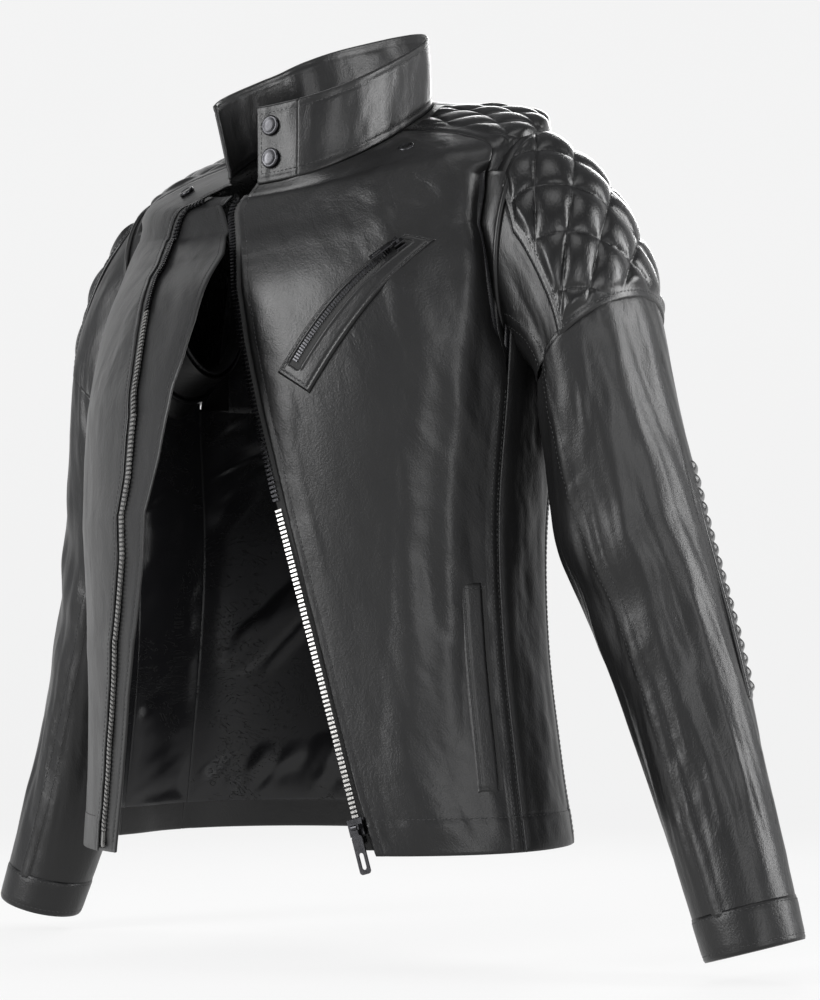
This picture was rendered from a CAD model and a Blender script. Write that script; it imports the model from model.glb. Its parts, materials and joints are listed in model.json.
"""Dress the leather riding jacket: skins, quilting, lining, zips, snaps, stitches and studio."""
import json
import math
import bpy
import numpy as np
from mathutils import Matrix, Vector
from mathutils.bvhtree import BVHTree

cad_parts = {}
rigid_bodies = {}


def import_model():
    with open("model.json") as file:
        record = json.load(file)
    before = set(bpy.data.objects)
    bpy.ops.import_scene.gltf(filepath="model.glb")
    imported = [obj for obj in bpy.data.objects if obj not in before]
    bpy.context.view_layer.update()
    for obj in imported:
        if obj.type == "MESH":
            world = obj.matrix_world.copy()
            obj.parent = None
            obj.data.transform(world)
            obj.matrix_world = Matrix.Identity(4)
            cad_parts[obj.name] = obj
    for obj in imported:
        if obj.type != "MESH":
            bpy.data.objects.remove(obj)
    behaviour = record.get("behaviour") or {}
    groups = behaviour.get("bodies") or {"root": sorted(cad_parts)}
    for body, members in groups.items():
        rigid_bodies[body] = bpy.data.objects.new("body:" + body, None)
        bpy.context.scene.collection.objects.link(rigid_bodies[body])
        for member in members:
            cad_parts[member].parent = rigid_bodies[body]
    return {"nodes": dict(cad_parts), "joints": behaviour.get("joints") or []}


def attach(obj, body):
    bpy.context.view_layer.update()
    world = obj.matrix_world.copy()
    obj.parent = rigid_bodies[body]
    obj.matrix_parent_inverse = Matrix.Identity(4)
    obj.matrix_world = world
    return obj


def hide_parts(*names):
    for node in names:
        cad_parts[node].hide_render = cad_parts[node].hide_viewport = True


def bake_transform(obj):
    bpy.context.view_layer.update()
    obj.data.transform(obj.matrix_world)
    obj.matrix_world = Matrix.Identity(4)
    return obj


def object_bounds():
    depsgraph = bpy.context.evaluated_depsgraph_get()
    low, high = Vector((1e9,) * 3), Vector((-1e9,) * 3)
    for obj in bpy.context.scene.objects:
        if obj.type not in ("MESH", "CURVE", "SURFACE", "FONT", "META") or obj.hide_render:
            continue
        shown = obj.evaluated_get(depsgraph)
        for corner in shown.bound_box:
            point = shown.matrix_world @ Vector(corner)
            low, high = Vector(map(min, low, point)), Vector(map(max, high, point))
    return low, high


bl_info = {
    "name": "Riding jacket dresser",
    "version": (1, 0, 0),
    "blender": (4, 5, 0),
    "location": "View3D > Sidebar > Jacket",
    "description": "Builds the leather, quilting, lining, zips and stitches of a riding jacket",
    "category": "Object",
}

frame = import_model()
CAD_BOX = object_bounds()

# ------------------------------------------------------------------ the jacket's surface, in millimetres
ORIGIN_SHIFT = (0.0, -48.0, 8.0)
BODY_LENGTH = 651.0
COLLAR_HEIGHT = 60.0
# share of the length, half width, front depth, back depth, front tilt, back tilt, squareness
BODY = np.array([
    (1.000, 210, 124, 116, 0.04, 0.04, 0.92), (0.891, 200, 122, 108, 0.03, 0.03, 0.92),
    (0.753, 190, 124, 102, 0.02, 0.02, 0.92), (0.607, 188, 132, 108, 0.00, 0.00, 0.92),
    (0.458, 198, 140, 122, 0.00, 0.00, 0.92), (0.323, 204, 138, 130, 0.08, 0.08, 0.92),
    (0.230, 206, 126, 124, 0.22, 0.22, 0.92), (0.169, 206, 114, 106, 0.36, 0.36, 0.92),
    (0.117, 198, 104, 94, 0.50, 0.46, 0.92), (0.092, 158, 101, 82, 0.62, 0.50, 0.90),
    (0.080, 112, 102, 70, 0.64, 0.54, 0.84), (0.075, 77, 104, 60, 0.62, 0.66, 0.76)])
NECK = len(BODY) - 1.0
OPEN_SWING = np.array([23, 26, 29, 28, 22, 14, 6, 0, 0, 0, 0, 0], float)
# centre x, y, z, tilt, front-back radius, in-out radius
SLEEVE = np.array([
    (186, 8, -169, 4.9, 66, 93.3), (216.5, 9, -199, 19, 70, 81.4), (241, 10, -243, 39, 70, 60.4),
    (252, 12, -313.5, 65.9, 65, 52.6), (265, 20, -404, 74, 58, 58.2), (295, 28, -500, 74, 51, 52),
    (326, 28, -600, 74, 44, 45), (366, 16, -722, 74, 36, 38)])
RIGHT_TUCK = np.array([0, 0, 2, 6, 8, 8, 8, 10], float)
SIDE_SEAM, BACK_SEAM = 72.5, 107.0
ARM_FRONT, ARM_BACK, YOKE_S = 60.0, 121.0, 7.35
LEFT_ZIP = ((0.0, 29.0), (0.47, 26.3), (1.13, 22.6), (1.5, 20.3), (2.07, 16.8), (2.53, 13.8), (3.23, 9.0),
            (3.87, 4.5), (4.53, 0.6), (5.3, -3.0), (7.57, -10.5), (9.0, -11.5), (NECK, -11.5))
RIGHT_ZIP = ((0.0, -14.0), (0.3, -12.5), (1.13, -6.0), (2.03, 4.0), (2.67, 8.5), (3.3, 9.0), (3.8, 6.5),
             (4.23, 1.5), (4.83, -6.5), (5.63, -18.0), (6.9, -29.0), (8.5, -30.0), (NECK, -33.0))
RIGHT_EDGE = ((0.0, -8.0), (0.5, -4.0), (1.0, 0.5), (1.57, 6.5), (2.0, 13.0), (2.63, 17.5), (3.4, 20.0),
              (3.83, 19.5), (4.23, 18.0), (4.67, 14.5), (5.43, 6.0), (6.83, -9.0), (8.5, -18.0),
              (NECK, -24.0))
EDGE_BACK = 2.4                 # degrees from the tooth line to the folded leather edge
NECK_FRONT = 78.0               # front end of the quilted yoke at the neck, degrees
MM_PER_DEGREE = 3.3             # along the body's girth


def smooth(t):
    t = np.clip(t, 0.0, 1.0)
    return t * t * (3 - 2 * t)


def rows(table, s):
    n = len(table) - 1
    s = np.clip(np.asarray(s, float), 0, n - 1e-9)
    i = np.floor(s).astype(int)
    f = (s - i)[..., None]
    p1, p2 = table[i], table[i + 1]
    p0 = np.where((i == 0)[..., None], 2 * p1 - p2, table[np.maximum(i - 1, 0)])
    p3 = np.where((i + 2 > n)[..., None], 2 * p2 - p1, table[np.minimum(i + 2, n)])
    square, cube = 2 * p0 - 5 * p1 + 4 * p2 - p3, 3 * p1 - p0 - 3 * p2 + p3
    return 0.5 * (2 * p1 + (p2 - p0) * f + square * f ** 2 + cube * f ** 3)


def line(points, s):
    return np.interp(s, [p[0] for p in points], [p[1] for p in points])


def body(phi, s, swing=False):
    phi = np.asarray(phi, float)
    s = np.asarray(s, float) + 0 * phi
    zf, a, bf, bb, kf, kb, q = np.moveaxis(rows(BODY, s), -1, 0)
    r = np.radians(phi)
    sn, cs = np.sin(r), np.cos(r)
    k = kf + (kb - kf) * smooth((1 - cs) / 2)
    n = 2 / q
    g = (np.abs(sn) ** n + np.abs(cs) ** n) ** (-1 / n)
    x = a * g * sn
    y = -np.where(cs > 0, bf, bb) * g * cs
    z = -BODY_LENGTH * zf + k * y
    if swing:
        amount = np.interp(s, range(len(OPEN_SWING)), OPEN_SWING) * smooth((phi + 94) / 26)
        ang = np.radians(amount)
        px, py = -a * 0.985, -8.0
        dx, dy = x - px, y - py
        x = px + dx * np.cos(ang) + dy * np.sin(ang)
        y = py - dx * np.sin(ang) + dy * np.cos(ang)
    return np.stack([x, y, z], -1) + ORIGIN_SHIFT


def left_side(phi, s):
    return body(phi, s, False)


def right_side(phi, s):
    return body(phi, s, True)


def sleeve(side):
    def at(th, t):
        th = np.asarray(th, float)
        raw = np.asarray(t, float) + 0 * th
        t = np.maximum(raw, 0.0)
        cx, cy, cz, tilt, w1, w2 = np.moveaxis(rows(SLEEVE, t), -1, 0)
        if side < 0:
            cx = cx - np.interp(t, range(len(RIGHT_TUCK)), RIGHT_TUCK)
        r, tr = np.radians(th), np.radians(tilt)
        x = cx + w2 * np.cos(r) * np.sin(tr)
        y = cy - w1 * np.sin(r)
        z = cz + w2 * np.cos(r) * np.cos(tr)
        P = np.stack([side * x, y, z], -1) + ORIGIN_SHIFT
        inside = np.maximum(-raw, 0.0)[..., None]       # the seam allowance, tucked under the body's edge
        armhole = np.array([side * 160.0, -40.0, -165.0])
        return P + (armhole - P) * inside * 0.16 + np.array([-side * 26.0, 0, 0]) * inside
    return at


def collar(phi, h):
    phi = np.asarray(phi, float)
    h = np.asarray(h, float) + 0 * phi
    base = body(phi, NECK - 1e-6 + 0 * phi)
    c = np.cos(np.radians(phi))
    rise = COLLAR_HEIGHT - 2 + 4 * c
    far = np.where(phi > 180, smooth((410 - phi) / 50.0) * smooth((phi - 250) / 60.0), 0)
    splay = np.where(phi < 0, smooth(-phi / 50.0), far)
    dx = 0.02 * base[..., 0] * h - 8 * splay * (0.2 + h)
    dy = -10 * h * (1 - c) / 2 - 8 * splay * (0.2 + h)
    return base + np.stack([dx, dy, rise * h + 1.2], -1)


def left_edge(s):
    return line(LEFT_ZIP, s) + EDGE_BACK


def tooth_r(s):
    return line(RIGHT_ZIP, s)


def arm_front(s):
    return np.interp(s, [0, 4.1, 5.0, 6.0, YOKE_S, NECK],
                     [SIDE_SEAM, SIDE_SEAM, 66.0, ARM_FRONT, ARM_FRONT, NECK_FRONT])


def arm_back(s):
    return np.interp(s, [0, 4.1, 4.7, 6.0, YOKE_S, NECK],
                     [BACK_SEAM, BACK_SEAM, 116.0, ARM_BACK + 1, ARM_BACK, ARM_BACK])


# ------------------------------------------------------------------ soft noise, the same every run
class Drape:
    """Smooth seeded noise on a plane, used for slack and creases."""

    def __init__(self, seed):
        self.grid = np.random.RandomState(seed).rand(64, 64)

    def at(self, x, y):
        xi, yi = np.floor(x).astype(int), np.floor(y).astype(int)
        fx, fy = smooth(x - xi), smooth(y - yi)
        g = self.grid
        a, b = g[xi % 64, yi % 64], g[(xi + 1) % 64, yi % 64]
        c, d = g[xi % 64, (yi + 1) % 64], g[(xi + 1) % 64, (yi + 1) % 64]
        return (a + (b - a) * fx) * (1 - fy) + (c + (d - c) * fx) * fy - 0.5

    def many(self, x, y, turns=3):
        total, gain, f = 0.0, 1.0, 1.0
        for _ in range(turns):
            total = total + gain * self.at(x * f + 3.1 * f, y * f + 7.7 * f)
            gain *= 0.5
            f *= 2.03
        return total


def fold(u, v, path, width, height, ends):
    """A long soft fold: path gives u at v, ends the span of v it fades over."""
    d = (u - np.interp(v, [p[0] for p in path], [p[1] for p in path])) / width
    fade = smooth((v - ends[0]) / ends[2]) * smooth((ends[1] - v) / ends[2])
    return height * np.exp(-d * d) * fade


# ------------------------------------------------------------------ mesh makers
def link(obj):
    bpy.context.scene.collection.objects.link(obj)
    return obj


def object_from(name, verts, faces, mat, uv=None):
    mesh = bpy.data.meshes.new(name)
    mesh.from_pydata([tuple(v) for v in verts], [], [tuple(f) for f in faces])
    mesh.polygons.foreach_set("use_smooth", [True] * len(mesh.polygons))
    if uv is not None:
        layer = mesh.uv_layers.new(name="UVMap")
        loops = np.zeros(len(mesh.loops), dtype=np.int32)
        mesh.loops.foreach_get("vertex_index", loops)
        layer.data.foreach_set("uv", np.asarray(uv, float)[loops].ravel())
    mesh.materials.append(mat)
    mesh.update()
    return link(bpy.data.objects.new(name, mesh))


def normals(P, flip=1):
    du = np.gradient(P, axis=0)
    dv = np.gradient(P, axis=1)
    n = np.cross(du, dv)
    n /= np.maximum(np.linalg.norm(n, axis=-1, keepdims=True), 1e-12)
    return n * flip


def arc_uv(P):
    """Distances along both directions of a grid, in millimetres, measured from the middle rows."""
    du = np.linalg.norm(np.diff(P, axis=0), axis=-1)
    dv = np.linalg.norm(np.diff(P, axis=1), axis=-1)
    U = np.concatenate([np.zeros((1, P.shape[1])), np.cumsum(du, 0)], 0)
    V = np.concatenate([np.zeros((P.shape[0], 1)), np.cumsum(dv, 1)], 1)
    return U, V


def edge_distance(U, V, sides="lrbt"):
    d = np.full(U.shape, 1e3)
    if "l" in sides:
        d = np.minimum(d, U)
    if "r" in sides:
        d = np.minimum(d, U[-1:, :] - U)
    if "b" in sides:
        d = np.minimum(d, V)
    if "t" in sides:
        d = np.minimum(d, V[:, -1:] - V)
    return d


def skin(name, mat, fn, left, right, low, high, nu, nv, flip=1, shape=None, thick=1.2, lift=0.0, tuck="lrbt",
         tuck_deep=0.8, tuck_wide=3.0):
    """One curved panel as a closed skin; shape(U, V, u, v) gives its relief in millimetres."""
    v = np.linspace(low, high, nv)[None, :] + np.zeros((nu, 1))
    a = left(v) if callable(left) else left + 0 * v
    b = right(v) if callable(right) else right + 0 * v
    u = a + (b - a) * np.linspace(0, 1, nu)[:, None]
    P = fn(u, v)
    N = normals(P, flip)
    U, V = arc_uv(P)
    relief = lift + 0 * U
    if shape is not None:
        relief = relief + shape(U, V, u, v)
    if tuck:
        d = edge_distance(U, V, tuck)
        relief = relief - tuck_deep * np.exp(-(d / tuck_wide) ** 2)
    P = P + N * relief[..., None]
    N = normals(P, flip)
    return closed_skin(name, mat, P, N, U, V, thick, flip)


def closed_skin(name, mat, P, N, U, V, thick, flip):
    nu, nv = P.shape[:2]
    inner = P - N * thick
    idx = np.arange(nu * nv).reshape(nu, nv)
    a, b, c, d = idx[:-1, :-1], idx[1:, :-1], idx[1:, 1:], idx[:-1, 1:]
    outer_faces = np.stack([a, b, c, d], -1).reshape(-1, 4)
    inner_faces = np.stack([d, c, b, a], -1).reshape(-1, 4) + nu * nv
    loop = np.concatenate([idx[:-1, 0], idx[-1, :-1], idx[:0:-1, -1], idx[0, :0:-1]])
    outer_flat = P.reshape(-1, 3)
    inner_flat = inner.reshape(-1, 3)
    mid = (outer_flat[loop] + inner_flat[loop]) / 2
    centre_in = np.concatenate([idx[:-1, 1], idx[-2, :-1], idx[:0:-1, -2], idx[1, :0:-1]])
    away = outer_flat[loop] - outer_flat[centre_in]
    away /= np.maximum(np.linalg.norm(away, axis=-1, keepdims=True), 1e-9)
    mid = mid + away * thick * 0.35
    m0 = 2 * nu * nv
    k = len(loop)
    ring = np.arange(k) + m0
    nxt = np.roll(np.arange(k), -1)
    wall = []
    for i in range(k):
        j = nxt[i]
        wall.append((loop[j], loop[i], ring[i], ring[j]))
        wall.append((ring[j], ring[i], loop[i] + nu * nv, loop[j] + nu * nv))
    faces = np.concatenate([outer_faces, inner_faces, np.array(wall)])
    if flip < 0:
        faces = faces[:, ::-1]
    verts = np.concatenate([outer_flat, inner_flat, mid]) / 1000.0
    uv = np.stack([U.ravel(), V.ravel()], -1) / 1000.0
    uv = np.concatenate([uv, uv, uv[loop]])
    return object_from(name, verts, faces, mat, uv)


def tube_skin(name, mat, fn, low, high, nu, nv, flip, shape, thick):
    """A whole sleeve tube, open at both ends, its wall closed round both rims."""
    v = np.linspace(low, high, nv)[None, :] + np.zeros((nu, 1))
    u = 360.0 * np.arange(nu)[:, None] / nu + 0 * v
    P = fn(u, v)
    Pw = np.concatenate([P[-1:], P, P[:1]])
    N = normals(Pw, flip)[1:-1]
    ring = np.linalg.norm(np.roll(P, -1, 0) - P, axis=-1)
    U = np.concatenate([np.zeros((1, nv)), np.cumsum(ring, 0)[:-1]], 0)
    dv = np.linalg.norm(np.diff(P, axis=1), axis=-1)
    V = np.concatenate([np.zeros((nu, 1)), np.cumsum(dv, 1)], 1)
    P = P + N * shape(U, V, u, v)[..., None]
    Pw = np.concatenate([P[-1:], P, P[:1]])
    N = normals(Pw, flip)[1:-1]
    inner = P - N * thick
    idx = np.arange(nu * nv).reshape(nu, nv)
    nx = np.roll(idx, -1, 0)
    outer_faces = np.stack([idx[:, :-1], nx[:, :-1], nx[:, 1:], idx[:, 1:]], -1).reshape(-1, 4)
    inner_faces = outer_faces[:, ::-1] + nu * nv
    low_rim = np.stack([nx[:, 0], idx[:, 0], idx[:, 0] + nu * nv, nx[:, 0] + nu * nv], -1)
    top_rim = np.stack([idx[:, -1], nx[:, -1], nx[:, -1] + nu * nv, idx[:, -1] + nu * nv], -1)
    faces = np.concatenate([outer_faces, inner_faces, low_rim, top_rim])
    if flip < 0:
        faces = faces[:, ::-1]
    verts = np.concatenate([P.reshape(-1, 3), inner.reshape(-1, 3)]) / 1000.0
    uv = np.stack([U.ravel(), V.ravel()], -1) / 1000.0
    return object_from(name, verts, faces, mat, np.concatenate([uv, uv]))


def bead(name, mat, path, radius, side_dirs, sides=8):
    """A roll of piping along path (millimetres), its ends closed."""
    path = np.asarray(path, float)
    t = np.gradient(path, axis=0)
    t /= np.linalg.norm(t, axis=-1, keepdims=True)
    a = side_dirs - t * np.sum(side_dirs * t, -1, keepdims=True)
    a /= np.linalg.norm(a, axis=-1, keepdims=True)
    b = np.cross(t, a)
    ang = np.arange(sides) * 2 * math.pi / sides
    ring = a[:, None] * np.cos(ang)[None, :, None] + b[:, None] * np.sin(ang)[None, :, None]
    P = path[:, None] + ring * radius
    n = len(path)
    idx = np.arange(n * sides).reshape(n, sides)
    nx = np.roll(idx, -1, 1)
    faces = [tuple(f) for f in np.stack([idx[:-1], nx[:-1], nx[1:], idx[1:]], -1).reshape(-1, 4)]
    verts = list(P.reshape(-1, 3) / 1000.0)
    faces.append(tuple(idx[0][::-1]))
    faces.append(tuple(idx[-1]))
    return object_from(name, verts, faces, mat)


# ------------------------------------------------------------------ materials
def set_in(node, **values):
    for key, value in values.items():
        name = key.replace("_", " ")
        node.inputs[name].default_value = value


class Mat:
    """A small helper that builds one procedural material."""

    def __init__(self, name, base, rough, metal=0.0):
        self.m = bpy.data.materials.new(name)
        self.m.use_nodes = True
        self.m.diffuse_color = (*base, 1)
        self.t = self.m.node_tree
        self.p = self.t.nodes["Principled BSDF"]
        self.p.inputs["Base Color"].default_value = (*base, 1)
        self.p.inputs["Roughness"].default_value = rough
        self.p.inputs["Metallic"].default_value = metal
        self.coord = self.t.nodes.new("ShaderNodeTexCoord")

    def new(self, kind, **attrs):
        n = self.t.nodes.new(kind)
        for k, v in attrs.items():
            setattr(n, k, v)
        return n

    def join(self, a, b):
        self.t.links.new(a, b)

    def space(self, output="UV", scale=(1, 1, 1)):
        n = self.new("ShaderNodeMapping")
        n.inputs["Scale"].default_value = scale
        self.join(self.coord.outputs[output], n.inputs["Vector"])
        return n.outputs["Vector"]

    def noise(self, vec, scale, detail=3.0, rough=0.5, distortion=0.0):
        n = self.new("ShaderNodeTexNoise")
        n.inputs["Scale"].default_value = scale
        n.inputs["Detail"].default_value = detail
        n.inputs["Roughness"].default_value = rough
        n.inputs["Distortion"].default_value = distortion
        self.join(vec, n.inputs["Vector"])
        return n.outputs["Fac"]

    def cells(self, vec, scale):
        n = self.new("ShaderNodeTexVoronoi")
        n.inputs["Scale"].default_value = scale
        self.join(vec, n.inputs["Vector"])
        return n.outputs["Distance"]

    def span(self, value, a, b, c, d):
        n = self.new("ShaderNodeMapRange")
        for key, v in (("From Min", a), ("From Max", b), ("To Min", c), ("To Max", d)):
            n.inputs[key].default_value = v
        self.join(value, n.inputs["Value"])
        return n.outputs["Result"]

    def math(self, op, a, b=None):
        n = self.new("ShaderNodeMath", operation=op)
        for i, v in enumerate((a, b)):
            if v is None:
                continue
            if isinstance(v, (int, float)):
                n.inputs[i].default_value = v
            else:
                self.join(v, n.inputs[i])
        return n.outputs[0]

    def bump(self, height, distance, strength=1.0, under=None):
        n = self.new("ShaderNodeBump")
        n.inputs["Strength"].default_value = strength
        n.inputs["Distance"].default_value = distance
        self.join(height, n.inputs["Height"])
        if under is not None:
            self.join(under, n.inputs["Normal"])
        return n.outputs["Normal"]

    def tint(self, value, dark, light):
        n = self.new("ShaderNodeValToRGB")
        n.color_ramp.elements[0].color = (*dark, 1)
        n.color_ramp.elements[1].color = (*light, 1)
        self.join(value, n.inputs["Fac"])
        self.join(n.outputs["Color"], self.p.inputs["Base Color"])

    def rough(self, value, a, b):
        self.join(self.span(value, 0.3, 0.7, a, b), self.p.inputs["Roughness"])


def leather_mat(name, dark, light, rough_a, rough_b, coat=0.1):
    m = Mat(name, dark, rough_a)
    uv = m.space("UV")
    grain = m.cells(uv, 620.0)
    fine = m.noise(uv, 1500.0, 2.0)
    crease = m.noise(m.space("UV", (1, 0.55, 1)), 60.0, 5.0, 0.62, 0.6)
    broad = m.noise(m.space("Object"), 9.0, 3.0)
    n1 = m.bump(crease, 0.0011, 0.55)
    n2 = m.bump(grain, 0.00022, 0.5, n1)
    n3 = m.bump(fine, 0.00008, 0.5, n2)
    m.join(n3, m.p.inputs["Normal"])
    m.tint(broad, dark, light)
    m.rough(m.math("ADD", m.math("MULTIPLY", broad, 0.6), m.math("MULTIPLY", crease, 0.4)), rough_a, rough_b)
    set_in(m.p, Coat_Weight=coat, Coat_Roughness=0.28, Specular_IOR_Level=0.3)
    return m.m


def satin_mat(name):
    m = Mat(name, (0.006, 0.006, 0.007), 0.3)
    uv = m.space("UV")
    wob = m.noise(m.space("UV", (1, 1.7, 1)), 14.0, 5.0, 0.6, 1.4)
    ring = m.math("FRACT", m.math("MULTIPLY", wob, 13.0))
    stroke = m.math("LESS_THAN", m.math("ABSOLUTE", m.math("SUBTRACT", ring, 0.5)), 0.075)
    patch = m.math("GREATER_THAN", m.noise(uv, 9.0, 2.0), 0.5)
    broken = m.math("GREATER_THAN", m.noise(uv, 90.0, 2.0), 0.44)
    mark = m.math("MULTIPLY", stroke, m.math("MULTIPLY", patch, broken))
    m.join(m.span(mark, 0, 1, 0.25, 0.55), m.p.inputs["Roughness"])
    mix = m.new("ShaderNodeMix", data_type="RGBA")
    sockets = [s for s in mix.inputs if s.type == "RGBA"]
    sockets[0].default_value = (0.008, 0.008, 0.009, 1)
    sockets[1].default_value = (0.0015, 0.0015, 0.0017, 1)
    m.join(mark, mix.inputs[0])
    m.join([s for s in mix.outputs if s.type == "RGBA"][0], m.p.inputs["Base Color"])
    weave = m.new("ShaderNodeTexWave")
    weave.inputs["Scale"].default_value = 700.0
    m.join(uv, weave.inputs["Vector"])
    relief = m.math("ADD", m.math("MULTIPLY", weave.outputs["Fac"], 0.3), m.math("MULTIPLY", mark, -1.0))
    m.join(m.bump(relief, 0.00018, 0.5), m.p.inputs["Normal"])
    set_in(m.p, Sheen_Weight=0.05, Sheen_Roughness=0.4, Specular_IOR_Level=0.34, Anisotropic=0.4)
    return m.m


def tape_mat(name):
    m = Mat(name, (0.008, 0.008, 0.008), 0.75)
    w = m.new("ShaderNodeTexWave", bands_direction="DIAGONAL")
    w.inputs["Scale"].default_value = 420.0
    m.join(m.space("UV"), w.inputs["Vector"])
    m.join(m.bump(w.outputs["Fac"], 0.0003, 0.8), m.p.inputs["Normal"])
    set_in(m.p, Sheen_Weight=0.2)
    return m.m


def thread_mat(name, tone):
    m = Mat(name, (tone, tone, tone * 1.04), 0.55)
    w = m.new("ShaderNodeTexWave")
    w.inputs["Scale"].default_value = 900.0
    m.join(m.space("Object"), w.inputs["Vector"])
    m.join(m.bump(w.outputs["Fac"], 0.0002, 0.5), m.p.inputs["Normal"])
    return m.m


def metal_mat(name, base, rough):
    m = Mat(name, base, rough, 1.0)
    n = m.noise(m.space("Object"), 160.0, 3.0)
    m.join(m.span(n, 0.3, 0.7, rough * 0.7, rough * 1.4), m.p.inputs["Roughness"])
    m.join(m.bump(n, 0.00006, 0.4), m.p.inputs["Normal"])
    return m.m


MATS = {}


def materials(look):
    """All materials, in the tones the scene's settings hold."""
    t = look.leather_tone
    MATS["leather"] = leather_mat("Black leather", (t, t, t * 1.03), (t * 1.9, t * 1.9, t * 1.95),
                                  look.leather_gloss, look.leather_gloss + 0.14)
    MATS["quilt"] = leather_mat("Quilted leather", (t * 0.9, t * 0.9, t * 0.92), (t * 1.6, t * 1.6, t * 1.65),
                                look.leather_gloss - 0.1, look.leather_gloss + 0.02, 0.2)
    MATS["satin"] = satin_mat("Satin lining")
    MATS["tape"] = tape_mat("Zip tape")
    MATS["thread"] = thread_mat("Black thread", 0.012)
    MATS["nickel"] = metal_mat("Bright nickel", (0.34, 0.335, 0.325), 0.27)
    MATS["dark"] = metal_mat("Dark nickel", (0.045, 0.045, 0.048), 0.28)
    cotton = Mat("Pocket cotton", (0.012, 0.012, 0.012), 0.85)
    cotton.join(cotton.bump(cotton.noise(cotton.space("Object"), 900.0), 0.0002), cotton.p.inputs["Normal"])
    MATS["cotton"] = cotton.m


def finish_piece(obj, body=None, across=None, nodes=()):
    """Name the slot, put the piece on its body or pair of bodies, and hide the nodes it stands for."""
    if across is not None:
        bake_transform(obj)
    else:
        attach(obj, body)
    if nodes:
        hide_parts(*nodes)
    return obj


# ------------------------------------------------------------------ the bends between bodies, in metres
FOLD_HALF = 0.013       # half the width over which a front's leather turns


def joint(name):
    """One of the frame's joints."""
    return next(j for j in frame["joints"] if j["name"] == name)


def across_fold(name, n, sign):
    """The stretch over a front's crease, from the torso's side to the flap's; n points out of the leather."""
    fold_joint = joint(name)
    axis = Vector(fold_joint["axis"]).normalized()
    d = axis.cross(Vector(n)).normalized()
    if d.x * sign < 0:
        d = -d
    place = Vector(fold_joint["pos_m"])
    return (fold_joint["parent"], fold_joint["child"], tuple(place + d * FOLD_HALF), tuple(place - d * FOLD_HALF))


LEFT_FOLD = across_fold("left_front_fold", (0.35, -0.93, 0.0), 1)
RIGHT_FOLD = across_fold("right_front_fold", (-0.55, -0.83, 0.0), -1)


def shoulder_bend(side):
    """The stretch over the shoulder, along the sleeve."""
    c = Vector((side * 0.188, -0.04, -0.161))
    d = Vector((side * 0.94, 0, -0.34)).normalized()
    arm = "left_arm" if side > 0 else "right_arm"
    return ("torso", arm, tuple(c + d * 0.018), tuple(c + d * 0.056))


def elbow_bend(side):
    """The stretch over the elbow, along the sleeve."""
    word = "left" if side > 0 else "right"
    c = Vector(joint(word + "_elbow_bend")["pos_m"])
    d = Vector((side * 0.2998, 0, -0.954)).normalized()
    return (word + "_arm", word + "_fore", tuple(c - d * 0.045), tuple(c + d * 0.045))


# ------------------------------------------------------------------ Geometry Nodes: a shape repeated along a row
def on_skin(*names):
    """A function that lands a place on the finished skins of these names."""
    trees = []
    for name in names:
        me = bpy.data.objects[name].data
        corners = [p.vertices[:] for p in me.polygons]
        trees.append(BVHTree.FromPolygons([v.co[:] for v in me.vertices], corners))

    def land(p, n):
        best = None
        for tree in trees:
            hit = tree.ray_cast(p + n * 0.02, -n, 0.034)
            if hit[0] is not None and (best is None or (hit[0] - p).dot(n) > (best[0] - p).dot(n)):
                best = hit
        if best is None:
            return None
        m = best[1] if best[1].dot(n) > 0 else -best[1]
        return best[0], m
    return land


def row_places(fn, path, low, high, pitch, flip=1, land=None, sink=0.0):
    """Even places along a path over a surface fn: path gives the angle at each station."""
    s = np.linspace(low, high, 900)
    return places_on(fn, path(s), s, pitch, flip, land, sink)


def places_on(fn, u, s, pitch, flip=1, land=None, sink=0.0):
    """Even places (position, direction along the row, outward normal), landed on skins where land is given."""
    P = fn(u, s)
    e = 0.02
    du = fn(u + 0.4, s) - fn(u - 0.4, s)
    dv = fn(u, s + e) - fn(u, s - e)
    N = np.cross(du, dv)
    N /= np.maximum(np.linalg.norm(N, axis=-1, keepdims=True), 1e-12)
    N *= flip
    run = np.concatenate([[0], np.cumsum(np.linalg.norm(np.diff(P, axis=0), axis=1))])
    out = []
    for d in np.arange(pitch / 2, run[-1], pitch):
        i = min(np.searchsorted(run, d), len(run) - 1)
        j = max(i - 1, 0)
        f = 0.0 if run[i] == run[j] else (d - run[j]) / (run[i] - run[j])
        p = Vector(P[j] + (P[i] - P[j]) * f) / 1000.0
        t = Vector(P[i] - P[j]).normalized()
        n = Vector(N[i])
        if land is not None:
            got = land(p, n)
            if got is None:
                continue
            p, n = got
        n = (n - t * n.dot(t)).normalized()
        out.append((p - n * sink / 1000.0, t, n))
    return out


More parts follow.
